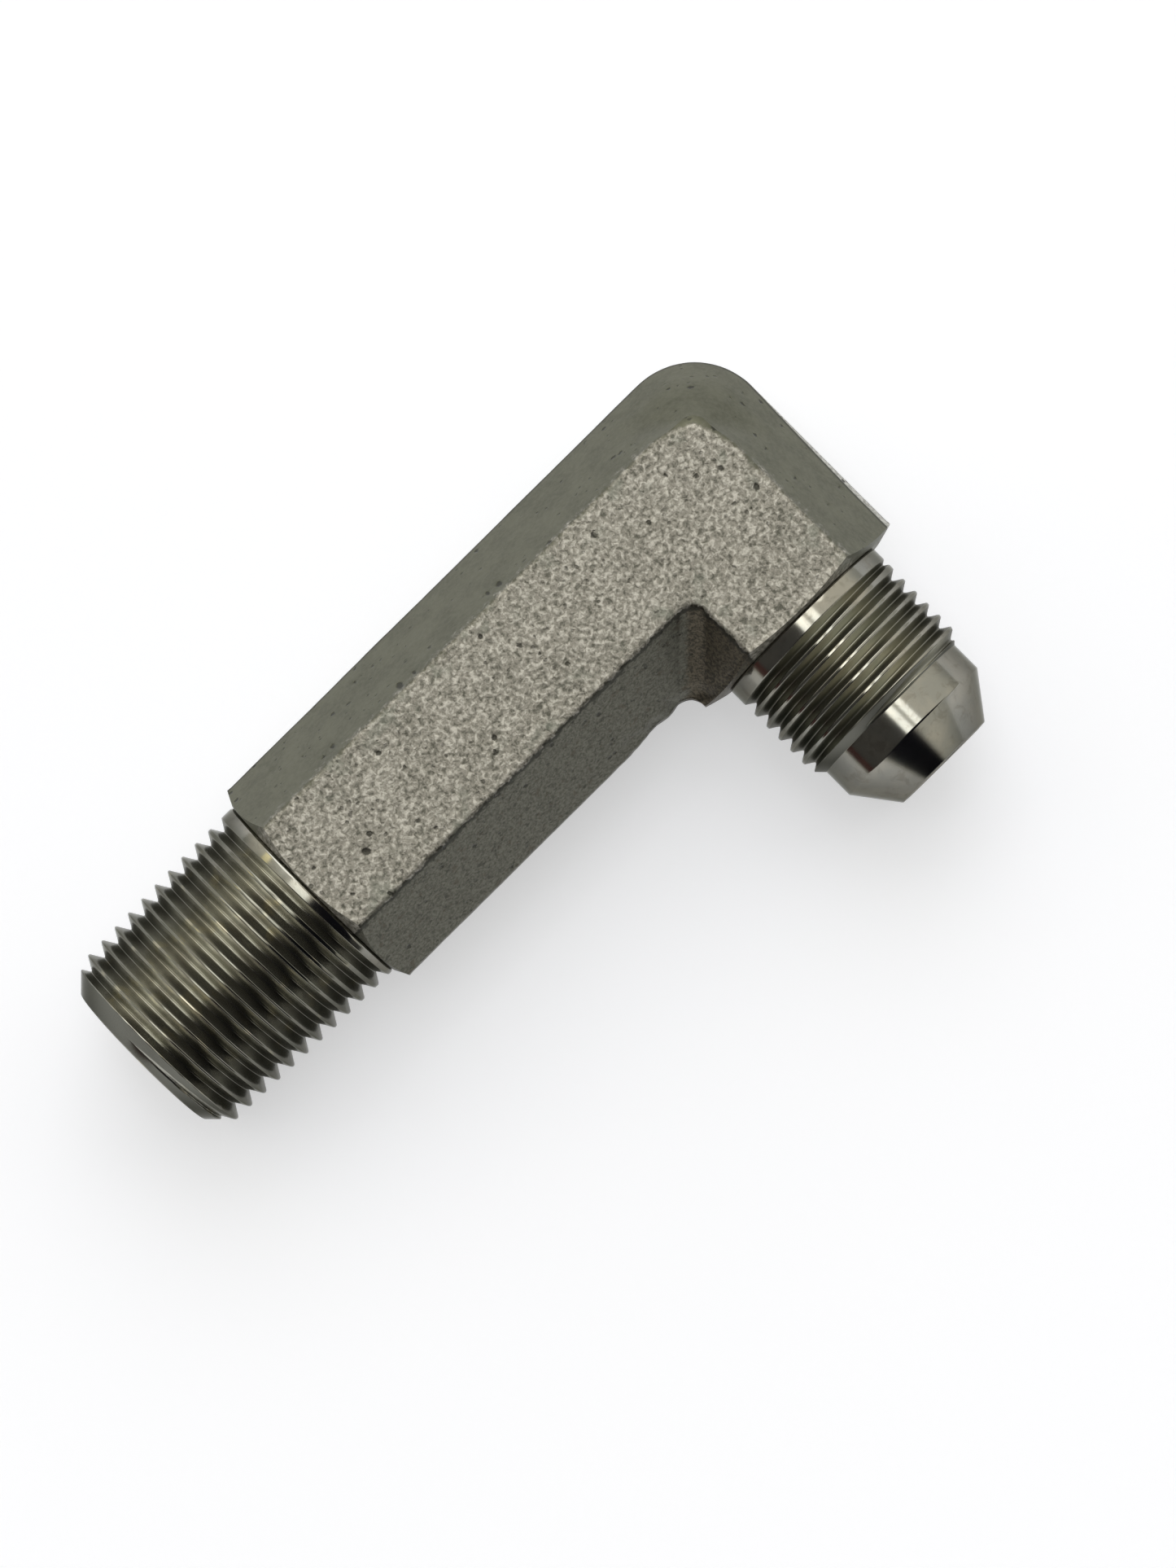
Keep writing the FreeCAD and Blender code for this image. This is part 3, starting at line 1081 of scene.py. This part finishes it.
def turned_material():
    """Turned steel under a thin plating: bright crests, collars and nose, darker olive thread
    flanks, golden patches on the pipe grooves that are partly a plating tint and partly a painted
    glint, a dull lead chamfer, painted shade on the sides of the turned ends, and fine tool marks."""
    material, n, shader = new_material("turned_steel")
    place = n.place_mm()
    x, _, z = n.split(place)
    groove = n.attribute("groove")
    in_groove = n.remap(groove, 0.0, 0.12)
    on_lead = n.remap(groove, 1.5, 1.9)
    in_bore = n.remap(groove, -0.1, -0.8)
    on_pipe = n.remap(x, 45, 46)
    cloud = n.noise(place, 0.22, 3.0, 0.6)
    fine = n.noise(place, 6.0, 2.0, 0.6)

    bright = bright_colour(n, cloud, fine, place)
    bright = n.mix(n.times(on_pipe, n.remap(x, 51, 52)), bright, PIPE_CREST)
    flank = n.mix(n.remap(cloud, 0.35, 0.65), *FLARE_FLANK)
    colour = n.mix(in_groove, bright, n.mix(on_pipe, flank, PIPE_FLANK))
    grime = n.times(n.remap(n.noise(place, 0.4, 3, 0.6), 0.42, 0.62), on_pipe)
    grime = n.times(grime, n.remap(x, 51, 51.6))
    colour = n.tint(colour, grime, 0.5, GRIME)
    on_grooves = n.times(on_pipe, n.remap(x, 52, 53))
    # Golden patches on the pipe grooves: partly a yellow plating tint, partly a painted glint that
    # brightens the grooves.
    golden_glint = n.times(n.remap(n.noise(place, 0.42, 1, 0.5), 0.6, 0.72), on_grooves)
    colour = n.tint(colour, golden_glint, 0.5, GOLDEN_TINT_GLINT)
    colour = n.mix(on_lead, colour, LEAD_CHAMFER)
    # Painted shade: the turned ends grow darker on their sides, away from straight up and down,
    # down to half on plain faces and 0.3 in the grooves.
    height = n.times(n.math("ABSOLUTE", z), n.choose(on_pipe, 1.0, 0.85))
    painted_side_shade = n.remap(height, 8.0, 3.5)
    colour = n.mix(painted_side_shade, colour, n.mix(in_groove, PLAIN_SIDE_SHADE, GROOVE_SIDE_SHADE), "MULTIPLY")
    colour = n.mix(in_bore, colour, n.mix(fine, *BORE_WALL))

    roughness = n.choose(in_groove, 0.13, n.choose(on_pipe, 0.32, 0.21))
    roughness = n.times_plus(grime, 0.04, roughness)
    n.link(colour, shader.inputs["Base Color"])
    n.link(n.choose(in_bore, 1.0, 0.8), shader.inputs["Metallic"])
    n.link(n.times_plus(in_bore, 0.2, roughness), shader.inputs["Roughness"])
    n.link(n.bump(fine, 0.25, 0.003), shader.inputs["Normal"])
    shader.inputs["Specular Tint"].default_value = PLATING_TINT
    return material


# Stage, light and camera
FLOOR_HALF_SIZE = 4000
FLOOR_COLOUR = (0.64, 0.655, 0.71, 1)
FLOOR_GLOW = 0.5
WALLS = (0.6, 0.6, 0.56)
CEILING = (0.98, 0.95, 0.86)
CLOTHES = ((0.01, 0.01, 0.014), (0.095, 0.092, 0.088))
BROWN_CLOTHES = (0.10, 0.046, 0.042)
TWIN_LAMP = (3.2, 3.2, 3.1)
WARM_LAMP = (2.2, 1.95, 1.2)
KEY_PLACE = (-0.7, -0.9, 1.3)
KEY_TARGET = (0.02, 0.01, 0)
KEY_SIZE = 1.2
KEY_POWER = 8
FOCAL_PIXELS = 7000
IMAGE_WIDTH = 1445
SENSOR_WIDTH = 36.0
CAMERA_PLACE = (32.85, 40.3, 537.0)
CAMERA_TILT_DEG = (-2.762, 1.61, 0.274)


def floor_material():
    """Pale paper that takes the shadow and looks white to the camera and in reflections."""
    material = bpy.data.materials.new("floor_paper")
    material.use_nodes = True
    n = Nodes(material.node_tree)
    diffuse = n.add("ShaderNodeBsdfDiffuse")
    diffuse.inputs["Color"].default_value = FLOOR_COLOUR
    glow = n.add("ShaderNodeEmission")
    path = n.add("ShaderNodeLightPath")
    seen = n.larger(path.outputs["Is Camera Ray"], path.outputs["Is Glossy Ray"])
    seen = n.larger(seen, path.outputs["Is Transmission Ray"])
    n.link(n.times(seen, FLOOR_GLOW), glow.inputs["Strength"])
    both = n.add("ShaderNodeAddShader")
    output = n.add("ShaderNodeOutputMaterial")
    n.link(diffuse.outputs[0], both.inputs[0])
    n.link(glow.outputs[0], both.inputs[1])
    n.link(both.outputs[0], output.inputs[0])
    return material


def floor():
    """A wide plain floor under the lower wrench flat."""
    half = FLOOR_HALF_SIZE
    corners = [(-half, -half), (half, -half), (half, half), (-half, half)]
    obj = mesh_object("floor", [(x, y, -FLATS_HALF) for x, y in corners], [(0, 1, 2, 3)])
    obj.data.materials.append(floor_material())


def with_dark_side(n, sky, x, y, z, lean):
    """The room with the photographer's dark clothes before it. Azimuths are in degrees
    from +Y towards +X, and lean says how far a direction is from straight up."""
    azimuth = n.times(n.math("ARCTAN2", x, y), 180 / math.pi)
    left_edge = n.remap(z, 0.32, 0.42, -2.0, -64.0)
    dark = n.times(n.remap(n.minus(azimuth, left_edge), -4, 4), n.remap(azimuth, 136, 128))
    dark = n.times(dark, n.remap(z, 0.02, 0.06))
    dark = n.times(dark, n.remap(lean, 0.17, 0.22))
    clothes = n.mix(n.remap(azimuth, 30, 50), *CLOTHES)
    brown = n.times(n.remap(azimuth, 60, 66), n.remap(z, 0.24, 0.2))
    return n.mix(dark, sky, n.mix(brown, clothes, BROWN_CLOTHES))


def world_light():
    """A plain studio room, by direction: pale beige walls and ceiling, twin ceiling lamps
    almost overhead, a warm lamp further off, and the dark photographer's side."""
    world = bpy.data.worlds.new("studio")
    bpy.context.scene.world = world
    world.use_nodes = True
    n = Nodes(world.node_tree)
    x, y, z = n.split(n.add("ShaderNodeTexCoord").outputs["Generated"])
    high = n.larger(z, 0.02)
    a = n.math("DIVIDE", x, high)
    b = n.math("DIVIDE", y, high)

    sky = n.mix(n.remap(z, 0.0, 0.4), WALLS, CEILING)
    sky = with_dark_side(n, sky, x, y, z, n.larger(a, b))
    twin = n.larger(n.within(a, -0.257, -0.098, 0.01), n.within(a, 0.0, 0.187, 0.01))
    sky = n.mix(n.times(twin, n.within(b, -0.3, 0.13, 0.02)), sky, TWIN_LAMP)
    warm = n.times(n.within(b, -1.5, -1.1, 0.03), n.within(a, -0.08, 0.18, 0.03))
    sky = n.mix(warm, sky, WARM_LAMP)
    background = n.add("ShaderNodeBackground")
    output = n.add("ShaderNodeOutputWorld")
    n.link(sky, background.inputs["Color"])
    background.inputs["Strength"].default_value = 1.0
    n.link(background.outputs[0], output.inputs[0])


def key_light():
    """One large soft lamp from above the outer corner of the elbow."""
    data = bpy.data.lights.new("key", "AREA")
    data.shape = "RECTANGLE"
    data.size = KEY_SIZE
    data.size_y = KEY_SIZE
    data.energy = KEY_POWER
    light = bpy.data.objects.new("key", data)
    light.location = KEY_PLACE
    aim = Vector(KEY_TARGET) - Vector(KEY_PLACE)
    light.rotation_euler = aim.to_track_quat("-Z", "Y").to_euler()
    bpy.context.scene.collection.objects.link(light)


def camera():
    """The photograph's camera: nearly straight above, turned 45 degrees."""
    half = math.sqrt(0.5)
    level = Matrix(((-half, half, 0), (half, half, 0), (0, 0, -1)))
    tilt = Vector([math.radians(a) for a in CAMERA_TILT_DEG])
    turned = Matrix.Rotation(tilt.length, 3, tilt.normalized()) @ level
    axes = Matrix((turned[0], -turned[1], -turned[2])).transposed()
    data = bpy.data.cameras.new("camera")
    data.sensor_fit = "HORIZONTAL"
    data.sensor_width = SENSOR_WIDTH
    data.lens = FOCAL_PIXELS / IMAGE_WIDTH * SENSOR_WIDTH
    data.clip_start = 0.01
    data.clip_end = 100
    obj = bpy.data.objects.new("camera", data)
    obj.matrix_world = Matrix.Translation(Vector(CAMERA_PLACE) * MM) @ axes.to_4x4()
    bpy.context.scene.collection.objects.link(obj)
    bpy.context.scene.camera = obj


def dress(obj, material, smooth_deg):
    """Gives a piece its material and its place in the part."""
    obj.data.materials.clear()
    obj.data.materials.append(material)
    shade_smooth(obj, smooth_deg)
    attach(obj, "root")
    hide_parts("elbow_body")


dress(forged_body(), forged_material(), 40)
turned = turned_material()
dress(pipe_end(), turned, 35)
dress(flare_end(), turned, 35)
floor()
world_light()
key_light()
camera()
bpy.context.scene.view_settings.view_transform = "Standard"
